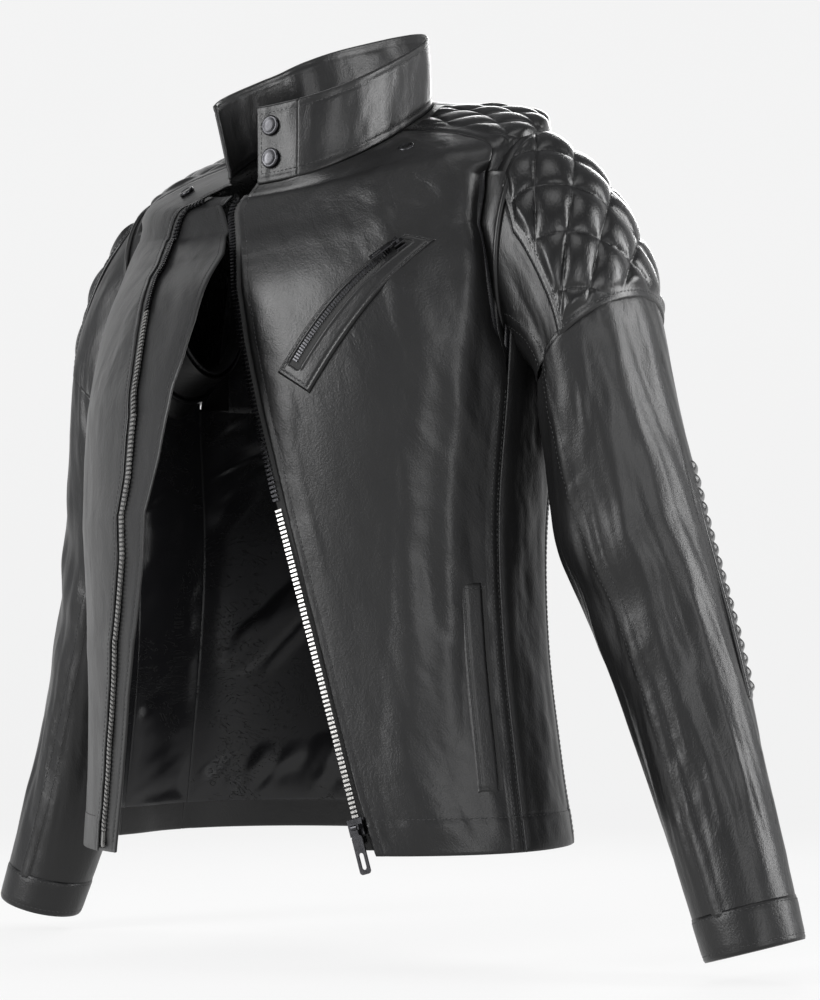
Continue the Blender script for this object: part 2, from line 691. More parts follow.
def repeat_tree(kind):
    tree = bpy.data.node_groups.new("Row of " + kind, "GeometryNodeTree")
    face = tree.interface
    face.new_socket(name="Geometry", in_out="INPUT", socket_type="NodeSocketGeometry")
    for name, value in (("Length", 3.0), ("Width", 0.8), ("Height", 0.5)):
        s = face.new_socket(name=name, in_out="INPUT", socket_type="NodeSocketFloat")
        s.default_value = value
        s.min_value = 0.0
    face.new_socket(name="Material", in_out="INPUT", socket_type="NodeSocketMaterial")
    face.new_socket(name="Geometry", in_out="OUTPUT", socket_type="NodeSocketGeometry")
    new = tree.nodes.new
    wire = tree.links.new
    gin, gout = new("NodeGroupInput"), new("NodeGroupOutput")
    size = new("ShaderNodeCombineXYZ")
    wire(gin.outputs["Length"], size.inputs[0])
    wire(gin.outputs["Width"], size.inputs[1])
    wire(gin.outputs["Height"], size.inputs[2])
    milli = new("ShaderNodeVectorMath")
    milli.operation = "SCALE"
    milli.inputs["Scale"].default_value = 0.001
    wire(size.outputs[0], milli.inputs[0])
    if kind == "stitches":
        shape = new("GeometryNodeMeshUVSphere")
        shape.inputs["Segments"].default_value = 6
        shape.inputs["Rings"].default_value = 4
        shape.inputs["Radius"].default_value = 0.5
        made = shape.outputs["Mesh"]
    else:
        base = new("GeometryNodeMeshCube")
        base.inputs["Size"].default_value = (1.0, 1.0, 0.72)
        head = new("GeometryNodeMeshCube")
        head.inputs["Size"].default_value = (0.72, 0.42, 1.0)
        both = new("GeometryNodeJoinGeometry")
        wire(base.outputs["Mesh"], both.inputs[0])
        wire(head.outputs["Mesh"], both.inputs[0])
        made = both.outputs[0]
    shaped = new("GeometryNodeTransform")
    wire(made, shaped.inputs["Geometry"])
    wire(milli.outputs[0], shaped.inputs["Scale"])
    points = new("GeometryNodeMeshToPoints")
    wire(gin.outputs["Geometry"], points.inputs["Mesh"])
    turn = new("GeometryNodeInputNamedAttribute")
    turn.data_type = "FLOAT_VECTOR"
    turn.inputs["Name"].default_value = "turn"
    place = new("GeometryNodeInstanceOnPoints")
    wire(points.outputs[0], place.inputs["Points"])
    wire(shaped.outputs[0], place.inputs["Instance"])
    wire(turn.outputs[0], place.inputs["Rotation"])
    real = new("GeometryNodeRealizeInstances")
    wire(place.outputs[0], real.inputs[0])
    flat = new("GeometryNodeSetShadeSmooth")
    flat.inputs["Shade Smooth"].default_value = kind == "stitches"
    wire(real.outputs[0], flat.inputs["Geometry"])
    paint = new("GeometryNodeSetMaterial")
    wire(flat.outputs[0], paint.inputs["Geometry"])
    wire(gin.outputs["Material"], paint.inputs["Material"])
    wire(paint.outputs[0], gout.inputs[0])
    return tree


TREES = {}


def repeat(name, kind, places, mat, length, width, height):
    """Run the tree over the places and keep the result as a plain mesh."""
    if not places:
        raise RuntimeError("no places for " + name)
    if kind not in TREES:
        TREES[kind] = repeat_tree(kind)
    tree = TREES[kind]
    mesh = bpy.data.meshes.new(name + "_points")
    mesh.from_pydata([tuple(p) for p, _, _ in places], [], [])
    turn = mesh.attributes.new("turn", "FLOAT_VECTOR", "POINT")
    values = []
    for _, t, n in places:
        m = Matrix((t, n.cross(t), n)).transposed()
        values.extend(m.to_euler("XYZ"))
    turn.data.foreach_set("vector", values)
    src = link(bpy.data.objects.new(name + "_points", mesh))
    mod = src.modifiers.new("Row", "NODES")
    mod.node_group = tree
    ids = {i.name: i.identifier for i in tree.interface.items_tree if i.in_out == "INPUT"}
    mod[ids["Length"]] = float(length)
    mod[ids["Width"]] = float(width)
    mod[ids["Height"]] = float(height)
    mod[ids["Material"]] = mat
    graph = bpy.context.evaluated_depsgraph_get()
    graph.update()
    out = bpy.data.meshes.new_from_object(src.evaluated_get(graph), depsgraph=graph)
    src.modifiers.remove(mod)
    bpy.data.objects.remove(src)
    bpy.data.meshes.remove(mesh)
    out.name = name
    if not out.materials:
        out.materials.append(mat)
    return link(bpy.data.objects.new(name, out))


def stitches(name, places, look, body=None, across=None):
    obj = repeat(name, "stitches", places, MATS["thread"], look.stitch_length, 0.95, 0.7)
    return finish_piece(obj, body, across)


# ------------------------------------------------------------------ relief: folds, seams and puffs
def slack(U, V, seed, wide, long, high, fine, fade, lean=0.0):
    """Long soft waves of hanging leather, dying out towards the sewn edges."""
    d = Drape(seed)
    X = (U + lean * V) / wide
    big = d.many(X, V / long, 3) * high * 2
    small = d.many((U + 0.6 * V) / 16.0, (V - 0.5 * U) / 30.0, 3) * fine * 2
    return (big + small) * smooth(edge_distance(U, V) / fade)


def groove(d, wide=1.3, deep=0.45):
    return -deep * np.exp(-(d / wide) ** 2)


def pucker(d, along, seed, reach=9.0, high=0.5, pitch=11.0):
    """Small crosswise gathers beside a line of stitching."""
    n = Drape(seed)
    return high * n.many(along / pitch, d / 40.0, 2) * 2 * np.exp(-np.abs(d) / reach)


def lap(d, wide=12.0, high=0.9):
    """A lapped seam: the leather stands up over a strip beside the seam."""
    return high * smooth(d / 1.6) * smooth((wide - d) / 2.2)


def quilt(X, Y, pitch, high, border, seed, edge=10.0):
    """Diamond quilting: pillows between two sets of stitched lines, flat near the piece's border."""
    p, q = (X + Y) / math.sqrt(2) / pitch, (Y - X) / math.sqrt(2) / pitch
    a, b = np.abs(np.sin(math.pi * p)), np.abs(np.sin(math.pi * q))
    pillow = (a * b) ** 0.42
    n = Drape(seed)
    near = np.exp(-np.minimum(a, b) * 3.0)
    gather = n.many(X / 7.0, Y / 7.0, 2) * near
    swell = 0.88 + 0.24 * n.at(X / 30.0 + 5, Y / 30.0)
    gate = smooth((border - edge) / 9.0)
    return gate * (high * pillow * swell + 0.9 * gather) + 0.8 * (1 - gate)


# ------------------------------------------------------------------ panels
def hem_line(V):
    """The stitched line and the turned-up edge of the hem."""
    return groove(V - 27.0, 1.2, 0.7) + 0.5 * smooth((28.0 - V) / 2.0)


def lining_slack(seed):
    """Soft waves of the front linings, kept behind the leather."""
    return lambda U, V, u, v: np.minimum(slack(U, V, seed, 50.0, 90.0, 2.4, 0.3, 20.0, lean=0.5), 1.2)


def left_front_relief(U, V, u, v):
    d_edge, d_side = U, U[-1:, :] - U
    r = slack(U, V, 11, 58.0, 210.0, 2.7, 0.34, 26.0)
    r = r + fold(u, v, ((0.6, 52), (3, 55), (5.2, 58), (6.4, 57)), 4.5, 4.0, (0.6, 6.6, 1.4))
    r = r + fold(u, v, ((0.6, 42), (3, 44), (5.4, 50)), 5.0, 2.6, (0.8, 5.4, 1.3))
    r = r + fold(u, v, ((0.6, 32), (2, 30), (3.4, 34)), 5.5, -1.8, (0.5, 3.6, 1.0))
    r = r + hem_line(V)
    r = r + groove(d_edge - 6.0) + 0.35 * smooth((6.5 - d_edge) / 2)
    low = smooth((4.2 - v) / 0.3)
    r = r + low * (lap(d_side, 13.0) + groove(d_side - 3.0) + groove(d_side - 10.5))
    r = r + pucker(d_edge - 6.0, V, 3, 7.0, 0.45, 9.0) + pucker(d_side - 8, V, 4, 9.0, 0.4, 12.0)
    r = r + pucker(V - 27.0, U, 5, 8.0, 0.4, 12.0)
    return np.maximum(r, 0.3 * r) - armhole_curl(d_side, v)


def armhole_curl(d, v):
    """The edge of the armhole turns in towards the sleeve."""
    return 8.0 * smooth((v - 4.2) / 0.5) * smooth((7.6 - v) / 0.3) * np.exp(-(d / 10.0) ** 2)


def right_front_relief(U, V, u, v):
    d_side, d_edge = U, U[-1:, :] - U
    r = slack(U, V, 21, 62.0, 230.0, 2.2, 0.3, 26.0)
    r = r + hem_line(V)
    r = r + groove(d_edge - 6.0) + 0.35 * smooth((6.5 - d_edge) / 2)
    low = smooth((4.2 - v) / 0.3)
    r = r + low * (lap(d_side, 13.0) + groove(d_side - 3.0) + groove(d_side - 10.5))
    r = r + pucker(d_edge - 6.0, V, 6, 7.0, 0.45, 9.0) + pucker(V - 27.0, U, 7, 8.0, 0.4, 12.0)
    return np.maximum(r, 0.3 * r) - armhole_curl(d_side, v)


def yoke_front(s):
    return ARM_FRONT + (NECK_FRONT - ARM_FRONT) * (s - YOKE_S) / (NECK - YOKE_S)


def front_limit(s):
    return np.where(np.asarray(s) <= YOKE_S, arm_front(s), yoke_front(s))


NECK_S = NECK - 0.06


def build_left_front(look):
    front = skin("left_front", MATS["leather"], left_side, left_edge, front_limit, 0.0, NECK_S, 120, 300,
                 shape=left_front_relief, tuck="rt")
    finish_piece(front, across=LEFT_FOLD,
                 nodes=("left_front_panel", "left_front_flap", "left_front_flex"))
    inner = skin("left_facing", MATS["leather"], left_side, lambda s: left_edge(s) + 0.2,
                 lambda s: left_edge(s) + 13.0, 0.01, 9.8, 24, 220, lift=-3.4, thick=0.8, tuck="")
    finish_piece(inner, across=LEFT_FOLD, nodes=("left_flap_facing",))
    hem = skin("left_hem_band", MATS["leather"], left_side, lambda s: left_edge(s) + 12.0, SIDE_SEAM,
               0.01, 0.40, 90, 14, lift=-2.2, thick=0.8, tuck="")
    finish_piece(hem, across=LEFT_FOLD)
    satin = skin("left_front_satin", MATS["satin"], left_side, lambda s: left_edge(s) + 12.0,
                 lambda s: front_limit(s) - 0.4, 0.36, 10.6, 60, 150, lift=-6.0, thick=0.5, tuck="",
                 shape=lining_slack(31))
    finish_piece(satin, across=LEFT_FOLD)


def underlap_relief(U, V, u, v):
    return groove(U[-1:, :] - U - 6.0, 1.2, 0.35) + 0.5 * slack(U, V, 22, 40.0, 160.0, 1.6, 0.25, 16.0)


def build_right_front(look):
    front = skin("right_front", MATS["leather"], right_side, lambda s: -front_limit(s),
                 lambda s: tooth_r(s) - EDGE_BACK, 0.0, NECK_S, 96, 300, shape=right_front_relief, tuck="lt")
    finish_piece(front, across=RIGHT_FOLD,
                 nodes=("right_front_panel", "right_front_flap", "right_front_flex"))
    under = skin("right_underlap", MATS["leather"], right_side, lambda s: tooth_r(s) - 7.0,
                 lambda s: line(RIGHT_EDGE, s), 0.0, 9.6, 40, 240, lift=-2.9, thick=1.6, tuck="",
                 shape=underlap_relief)
    finish_piece(under, across=RIGHT_FOLD, nodes=("right_placket",))
    satin = skin("right_front_satin", MATS["satin"], right_side, lambda s: -front_limit(s) + 0.4,
                 lambda s: tooth_r(s) - 6.0, 0.36, 10.4, 54, 150, lift=-6.0, thick=0.5, tuck="",
                 shape=lining_slack(32))
    finish_piece(satin, across=RIGHT_FOLD, nodes=("right_flap_lining",))
    hem = skin("right_hem_band", MATS["leather"], right_side, -SIDE_SEAM, lambda s: tooth_r(s) - 6.0,
               0.01, 0.40, 70, 14, lift=-2.2, thick=0.8, tuck="")
    finish_piece(hem, across=RIGHT_FOLD)


def build_back(look):
    def relief(seed):
        def shape(U, V, u, v):
            r = slack(U, V, seed, 80.0, 260.0, 3.2, 0.35, 30.0)
            for d in (U, U[-1:, :] - U):
                r = r + smooth((4.0 - v) / 0.3) * (groove(d - 3.0) + lap(d, 12.0) * 0.7)
            r = r + hem_line(V)
            r = r + pucker(V - 27.0, U, seed + 1, 8.0, 0.4, 12.0)
            return r - 0.6 * armhole_curl(np.minimum(U, U[-1:, :] - U), v)
        return shape
    back = skin("back", MATS["leather"], left_side, arm_back, lambda s: 360 - arm_back(s), 0.0, YOKE_S, 165, 175,
                shape=relief(41))
    finish_piece(back, "torso", nodes=("back_panel",))
    yoke = skin("back_yoke_skin", MATS["leather"], left_side, ARM_BACK, 360 - ARM_BACK, YOKE_S, NECK_S, 150, 60,
                shape=lambda U, V, u, v: slack(U, V, 43, 90.0, 60.0, 1.6, 0.3, 22.0) + lap(V, 11.0)
                + groove(V - 3.0) + groove(V - 9.0))
    finish_piece(yoke, "torso", nodes=("back_yoke",))
    for side, word, fn in ((1, "left", left_side), (-1, "right", right_side)):
        low, high = sorted((side * SIDE_SEAM, side * BACK_SEAM))
        panel = skin(word + "_side", MATS["leather"], fn, low, high, 0.0, 4.7, 60, 190,
                     shape=lambda U, V, u, v, seed=50 + side: slack(U, V, seed, 40.0, 160.0, 2.2, 0.35, 20.0)
                     + hem_line(V))
        finish_piece(panel, "torso", nodes=(word + "_side_panel",))


def build_yokes(look):
    for side, word in ((1, "left"), (-1, "right")):
        left, right = (yoke_front, ARM_BACK) if side > 0 else (-ARM_BACK, lambda s: -yoke_front(s))

        def shape(U, V, u, v, side=side):
            X = np.radians(u - side * 99.5) * 175.0
            border = np.minimum(edge_distance(U, V), V - 14.0)
            pillows = quilt(X + 4, V - 6, look.quilt_pitch, look.quilt_rise * 0.7, border, 60 + side, 7.0)
            return pillows - 9.0 * np.exp(-(V / 22.0) ** 2)
        pad = skin(word + "_yoke_pad", MATS["quilt"], left_side, left, right, YOKE_S, NECK_S, 110, 130,
                   shape=shape, thick=2.2, tuck_deep=0.8, tuck_wide=2.0)
        finish_piece(pad, "torso", nodes=(word + "_quilted_yoke",))


# ------------------------------------------------------------------ sleeves
T_PATCH, T_CUFF, T_END = 2.3, 6.76, 7.0
SEAM_FRONT = ((0.0, 136.0), (0.8, 128.0), (1.3, 124.0), (2.6, 115.0), (3.6, 104.0), (4.5, 97.0), (7.0, 95.0))
SEAM_BACK = -70.0
PAD_BACK = -66.0                # back edge of the quilted patch and of the elbow ribs, degrees


def patch_front(t, side=1):
    """Front edge of the quilted patch; the right one ends further back."""
    edge = np.interp(t, [0.0, 0.6, 1.63, 2.28, 3], [64.0, 83.0, 88.0, 89.0, 89.0])
    return edge - (0.0 if side > 0 else 38.0)


def seam_front(t):
    return line(SEAM_FRONT, t)


def sleeve_radius(t):
    return np.interp(t, [0, 2, 4, 5, 6, 7], [75, 66, 58, 52, 45, 38])


def around(u, u0):
    return (u - u0 + 180.0) % 360.0 - 180.0


def sleeve_relief(side, seed):
    def shape(U, V, u, v):
        radius = sleeve_radius(v)
        X = np.radians(u) * radius * side
        d = Drape(seed)
        ang = np.radians(u)
        cx, cy = np.cos(ang) * 1.6, np.sin(ang) * 1.6
        twist = V / 150.0
        wave = d.many(cx * 1.5 + 20 + twist * 0.55, cy * 1.5 + 20 + twist, 3) * 4.4
        elbow = np.exp(-((v - 4.4) / 0.75) ** 2)
        crush = np.sin((V * 1.0 + X * 0.7) / 13.0 + 2.0 * d.at(cx * 2 + 9, cy * 2 + twist))
        crush = crush * smooth((np.sin(ang) + 0.1) * 1.2)
        pit = np.exp(-((v - 1.9) / 0.8) ** 2) * smooth((0.35 - np.cos(ang)) * 1.5)
        r = wave * np.interp(v, [0, 0.5, 1.0, 6.2, 6.7], [0, 0.3, 1, 1, 0.1])
        r = r + crush * (1.5 * elbow + 1.4 * pit) + d.many(X / 15.0, V / 24.0, 2) * 0.5
        front = radius * np.radians(around(u, seam_front(v)))
        r = r + 0.9 * smooth((6.5 - np.abs(front)) / 1.8) + groove(front - 4.6) + groove(front + 4.6)
        r = r + pucker(np.abs(front) - 4.6, V, seed + 2, 8.0, 0.45, 9.0)
        back = radius * np.radians(around(u, SEAM_BACK))
        r = r + 0.9 * smooth((6.0 - np.abs(back)) / 1.8) * smooth((v - 2.2) / 0.1)
        r = r + groove(back - 4.2) + groove(back + 4.2)
        return r
    return shape


def sleeve_shells(side, word, fn):
    """The sleeve's leather, in one tube above the patch's lower edge and one below it."""
    def head_shape(U, V, u, v):
        s = around(u, 0.0)
        cover = smooth((s + 72.0) / 6.0) * smooth((patch_front(v, side) + 3.0 - s) / 5.0)
        r = sleeve_relief(side, 70 + side)(U, V, u, v) * smooth((v - 0.1) / 0.5)
        return r * (1 - cover) - 1.0 * cover

    def main_shape(U, V, u, v):
        return (sleeve_relief(side, 74 + side)(U, V + 118.0, u, v)
                - 1.5 * (1 - smooth((v - T_PATCH + 0.02) / 0.06)))
    head = tube_skin(word + "_head_skin", MATS["leather"], fn, -1.0, T_PATCH, 176, 90, side, head_shape, 1.2)
    finish_piece(head, across=shoulder_bend(side), nodes=(word + "_sleeve_head",))
    main_tube = tube_skin(word + "_sleeve_skin", MATS["leather"], fn, T_PATCH - 0.06, T_CUFF + 0.02, 176, 215,
                          side, main_shape, 1.2)
    finish_piece(main_tube, across=elbow_bend(side),
                 nodes=(word + "_upper_sleeve", word + "_elbow", word + "_forearm"))


def sleeve_pads(side, word, fn, look):
    """The quilted shoulder patch and the ribbed elbow."""
    def patch_shape(U, V, u, v):
        X = np.radians(u - 12.0) * 70.0
        near = np.minimum(np.radians(patch_front(v, side) - u) * 70.0, np.radians(u - PAD_BACK) * 70.0)
        near = np.minimum(near, (V[:, -1:] - V))
        near = np.minimum(near, V + 8.0)
        return 1.2 + quilt(X, V + 6, look.quilt_pitch, look.quilt_rise, near, 80 + side, 6.5)

    def ribs(U, V, u, v):
        wave = 0.5 + 0.5 * np.cos(V * 2 * math.pi / look.rib_pitch)
        return 1.3 + smooth((edge_distance(U, V) - 4.0) / 4.0) * (2.6 * wave ** 0.7)
    pad = skin(word + "_shoulder_pad", MATS["quilt"], fn, PAD_BACK, lambda t: patch_front(t, side), 0.1,
               T_PATCH + 0.03, 150, 130, flip=side, shape=patch_shape, thick=2.6, tuck_deep=1.2, tuck_wide=1.6,
               tuck="lrt")
    finish_piece(pad, across=shoulder_bend(side), nodes=(word + "_quilted_shoulder",))
    elbow = skin(word + "_elbow_ribs", MATS["quilt"], fn, PAD_BACK, -8.0, 3.55, 5.5, 46, 220, flip=side,
                 shape=ribs, thick=5.5, tuck_deep=1.0, tuck_wide=1.6)
    finish_piece(elbow, across=elbow_bend(side), nodes=(word + "_elbow_pad",))


def build_sleeve(side, look):
    word = "left" if side > 0 else "right"
    fn = sleeve(side)
    sleeve_shells(side, word, fn)
    sleeve_pads(side, word, fn, look)

    def cuff_shape(U, V, u, v):
        low = V[:, -1:] - V
        return (1.1 + groove(V - 2.6) + groove(low - 4.0) - 0.9 * np.exp(-(low / 1.5) ** 2)
                - 0.7 * np.exp(-(V / 1.4) ** 2) + 0.35 * Drape(90 + side).many(U / 14.0, V / 22.0, 2))
    cuff = tube_skin(word + "_cuff", MATS["leather"], fn, T_CUFF - 0.01, T_END, 176, 16, side, cuff_shape, 2.8)
    finish_piece(cuff, word + "_fore", nodes=(word + "_cuff_band",))
    high = tube_skin(word + "_sleeve_satin_high", MATS["satin"], fn, -1.1, T_PATCH, 64, 44, side,
                     lambda U, V, u, v: -4.6 + 0 * U, 0.5)
    finish_piece(high, across=shoulder_bend(side))
    lower = tube_skin(word + "_sleeve_satin", MATS["satin"], fn, T_PATCH - 0.05, 6.9, 64, 90, side,
                      lambda U, V, u, v: -4.6 - 1.5 * smooth((v - 6.2) / 0.5) + 0 * U, 0.5)
    finish_piece(lower, across=elbow_bend(side),
                 nodes=(word + "_upper_sleeve_lining", word + "_forearm_lining"))


# ------------------------------------------------------------------ collar
FLAP_HINGE, COLLAR_LEFT, COLLAR_RIGHT = 20.0, -8.0, 312.0
SNAP_U, SNAP_LOW, SNAP_HIGH = 2.0, 0.28, 0.72


def collar_relief(seed):
    def shape(U, V, u, v):
        d = Drape(seed)
        r = d.many(U / 38.0, V / 60.0, 3) * 2.2 * smooth(edge_distance(U, V) / 12.0)
        for e in (V[:, -1:] - V, V):
            r = r + groove(e - 5.5) + 0.3 * smooth((6.0 - e) / 2)
            r = r + pucker(e - 5.5, U, seed + 1, 7.0, 0.4, 10.0)
        return r
    return shape


def build_collar(look):
    stand = skin("collar", MATS["leather"], collar, FLAP_HINGE + 0.3, COLLAR_RIGHT, -0.03, 1.0, 300, 44,
                 shape=collar_relief(101), thick=3.2, tuck="")
    finish_piece(stand, "torso", nodes=("collar_stand", "collar_facing"))
    flap = skin("collar_tab_skin", MATS["leather"], collar, COLLAR_LEFT, FLAP_HINGE - 0.3, -0.03, 1.0, 60, 44,
                shape=collar_relief(105), thick=3.2, tuck="")
    finish_piece(flap, "collar_tab", nodes=("collar_flap", "collar_flap_facing"))


# ------------------------------------------------------------------ lining of the body
def drape_satin(seed, lean=0.9, high=5.0, fade=26.0):
    """Satin hanging in slanting folds behind the shell."""
    def shape(U, V, u, v):
        d = Drape(seed)
        a = (V + lean * U)
        b = (U - lean * V)
        r = d.many(a / 58.0, b / 150.0, 3) * high * 2
        r = r + d.many(a / 20.0, b / 70.0, 2) * 1.6
        crease = d.at(a / 46.0 + 7, b / 190.0 + 2)
        r = r + 2.4 * np.exp(-(crease / 0.06) ** 2)
        return np.minimum(r, 1.6) * smooth(edge_distance(U, V) / fade)
    return shape


def hem_shape(U, V, u, v):
    return 0.5 * Drape(120).many(U / 30.0, V / 40.0, 2) - 0.4 * smooth((V - 22.0) / 4)


def build_lining(look):
    low = skin("back_satin", MATS["satin"], left_side, BACK_SEAM + 0.5, 359.5 - BACK_SEAM, 0.36, 4.3, 110, 120,
               lift=-6.2, thick=0.5, tuck="", shape=drape_satin(111))
    finish_piece(low, "torso", nodes=("torso_lining",))
    high = skin("upper_back_satin", MATS["satin"], left_side, ARM_BACK - 1.0, 361 - ARM_BACK, 4.28, 10.5, 100, 90,
                lift=-6.2, thick=0.5, tuck="", shape=drape_satin(112, 0.7, 3.6))
    finish_piece(high, "torso")
    for side, word, fn in ((1, "left", left_side), (-1, "right", right_side)):
        near, far = sorted((side * (SIDE_SEAM - 0.6), side * (BACK_SEAM + 0.8)))
        panel = skin(word + "_side_satin", MATS["satin"], fn, near, far, 0.36, 4.65, 36, 110, lift=-6.0, thick=0.5,
                     tuck="", shape=drape_satin(113 + side, 0.6, 3.5, 14.0))
        finish_piece(panel, "torso")
    band = skin("hem_band", MATS["leather"], left_side, SIDE_SEAM, 360.0 - BACK_SEAM, 0.01, 0.40, 260, 14,
                lift=-2.2, thick=0.8, tuck="", shape=hem_shape)
    finish_piece(band, "torso", nodes=("body_facings",))
    right_band = skin("hem_band_right", MATS["leather"], right_side, -BACK_SEAM, -SIDE_SEAM, 0.01, 0.40, 60, 14,
                      lift=-2.2, thick=0.8, tuck="")
    finish_piece(right_band, "torso")


# ------------------------------------------------------------------ zips
def straight_left_zip():
    """Lower and upper end of the straight tooth row, its downward direction and its outward normal."""
    low, high = (left_side(line(LEFT_ZIP, s), np.array(s)).reshape(3) for s in (0.12, 3.12))
    along = (low - high) / np.linalg.norm(low - high)
    out = np.array(Vector(joint("main_zip_run")["axis"]).cross(Vector(joint("main_pull_hinge")["axis"])))
    out -= along * out.dot(along)
    out /= np.linalg.norm(out)
    return low - out * 0.6, high - out * 0.6, along, out


def tape_strip(name, pathfn, fn, low, high, near, far, nodes, body=None, across=None, nv=200):
    t = skin(name, MATS["tape"], fn, lambda s: pathfn(s) + near, lambda s: pathfn(s) + far, low, high, 8, nv,
             lift=-1.5, thick=0.6, tuck="")
    return finish_piece(t, body, across, nodes)


TOOTH = (1.9, 5.4, 2.4)         # length along the row, width and height, millimetres


def left_line(s):
    return line(LEFT_ZIP, s)


def tooth_row(name, fn, path, low, high, look, key, nodes=(), body=None, across=None):
    """One run of teeth along a path over the body."""
    places = row_places(fn, path, low, high, look.tooth_pitch, sink=0.6)
    finish_piece(repeat(name, "teeth", places, MATS[key], *TOOTH), body, across, nodes)


def build_zips(look):
    low, high, along, out = straight_left_zip()
    run = np.linalg.norm(low - high)
    spots = []
    for i in range(int((run - 8) / look.tooth_pitch)):
        p = low - along * (8 + look.tooth_pitch * i)
        spots.append((Vector(p) / 1000.0, Vector(along), Vector(out)))
    straight = repeat("left_teeth", "teeth", spots, MATS["nickel"], *TOOTH)
    finish_piece(straight, "left_flap", nodes=("left_zip_teeth",))
    tooth_row("left_teeth_high", left_side, left_line, 3.13, 9.0, look, "dark", ("upper_zip_teeth",), "torso")
    tooth_row("right_teeth", right_side, tooth_r, 0.22, 4.9, look, "nickel", ("right_zip_teeth",), "right_flap")
    tooth_row("right_teeth_mid", right_side, tooth_r, 4.93, 6.62, look, "dark", across=RIGHT_FOLD)
    tooth_row("right_teeth_high", right_side, tooth_r, 6.65, 9.2, look, "dark", body="torso")
    tape_strip("left_tape", left_line, left_side, 0.06, 3.3, -0.2, 3.6, ("left_zip_tape",), across=LEFT_FOLD)
    tape_strip("left_tape_high", left_line, left_side, 3.25, 9.3, -0.2, 3.6, ("left_upper_zip_tape",), "torso")
    tape_strip("right_tape", tooth_r, right_side, 0.06, 9.5, -3.6, 0.3, ("right_zip_tape",), across=RIGHT_FOLD,
               nv=260)
    paint_node("right_zip_pin", "nickel")
    for node in ("zip_slider", "zip_pull", "left_zip_box", "chest_slider", "chest_pull"):
        paint_node(node, "dark")


def paint_node(node, key):
    """Give a carried-over CAD piece its material."""
    obj = frame["nodes"][node]
    obj.data.materials.clear()
    obj.data.materials.append(MATS[key])


# ------------------------------------------------------------------ pockets
CHEST_LOW, CHEST_HIGH = (15.6, 4.25), (40.0, 5.75)      # ends of the chest zip: degrees, station
CHEST_C = np.array(joint("chest_zip_run")["pos_m"]) * 1000.0


def chest_ends():
    return [left_side(np.array(u), np.array(s)).reshape(3) for u, s in (CHEST_LOW, CHEST_HIGH)]


CHEST_R = np.linalg.norm(chest_ends()[0] - CHEST_C)
CHEST_HALF = math.asin(np.linalg.norm(chest_ends()[1] - chest_ends()[0]) / 2 / CHEST_R)


def chest_circle(angle, lift=0.0):
    """Points on the circle that the chest zip follows, at an angle from its middle."""
    low, high = chest_ends()
    chord = (high - low) / np.linalg.norm(high - low)
    up = (low + high) / 2 - CHEST_C
    up -= chord * up.dot(chord)
    up /= np.linalg.norm(up)
    angle = np.asarray(angle, float)[..., None]
    return CHEST_C + (up * np.cos(angle) + chord * np.sin(angle)) * (CHEST_R + lift)


def pocket(u, v):
    """The chest around the zip: u is millimetres across it, v runs from its lower to its upper end."""
    phi = CHEST_LOW[0] + (CHEST_HIGH[0] - CHEST_LOW[0]) * v + 0.25 * u
    return left_side(phi, CHEST_LOW[1] + (CHEST_HIGH[1] - CHEST_LOW[1]) * v - 0.0064 * u)


def welt_relief(U, V, u, v):
    """A stitched frame with a narrow slot for the zip."""
    edge = edge_distance(U, V)
    slot_ = smooth((5.4 - np.abs(u)) / 1.0) * smooth((v + 0.015) / 0.012) * smooth((1.015 - v) / 0.012)
    r = 2.5 * smooth((edge + 0.4) / 2.2) + 0.5 * np.exp(-((np.abs(u) - 6.4) / 1.2) ** 2) * (v > 0) * (v < 1)
    r = r + groove(edge - 3.4) + 0.35 * Drape(130).many(U / 12.0, V / 20.0, 2)
    return r - 3.2 * slot_


def hand_welt_relief(U, V, u, v):
    return groove(U - 3.6) + groove(V - 3.6) + groove(V[:, -1:] - V - 3.6)


def chest_tooth_places(pitch):
    """Places of the chest zip's teeth, along its circle."""
    spots = []
    for i in range(int(2 * CHEST_HALF * 0.88 * CHEST_R / pitch)):
        a = -CHEST_HALF * 0.94 + i * pitch / CHEST_R
        p, q = chest_circle(np.array([a, a + 0.002]), CHEST_LIFT)
        t = Vector(q - p).normalized()
        share = 1 + a / CHEST_HALF
        o = Vector(point_normal(left_side, CHEST_LOW[0] + 12.2 * share, CHEST_LOW[1] + 0.75 * share)[1])
        spots.append((Vector(p) / 1000.0, t, (o - t * o.dot(t)).normalized()))
    return spots


CHEST_LIFT = 2.8                # height of the chest teeth above the chest's surface
HAND_LEFT, HAND_RIGHT = 58.0, 65.3


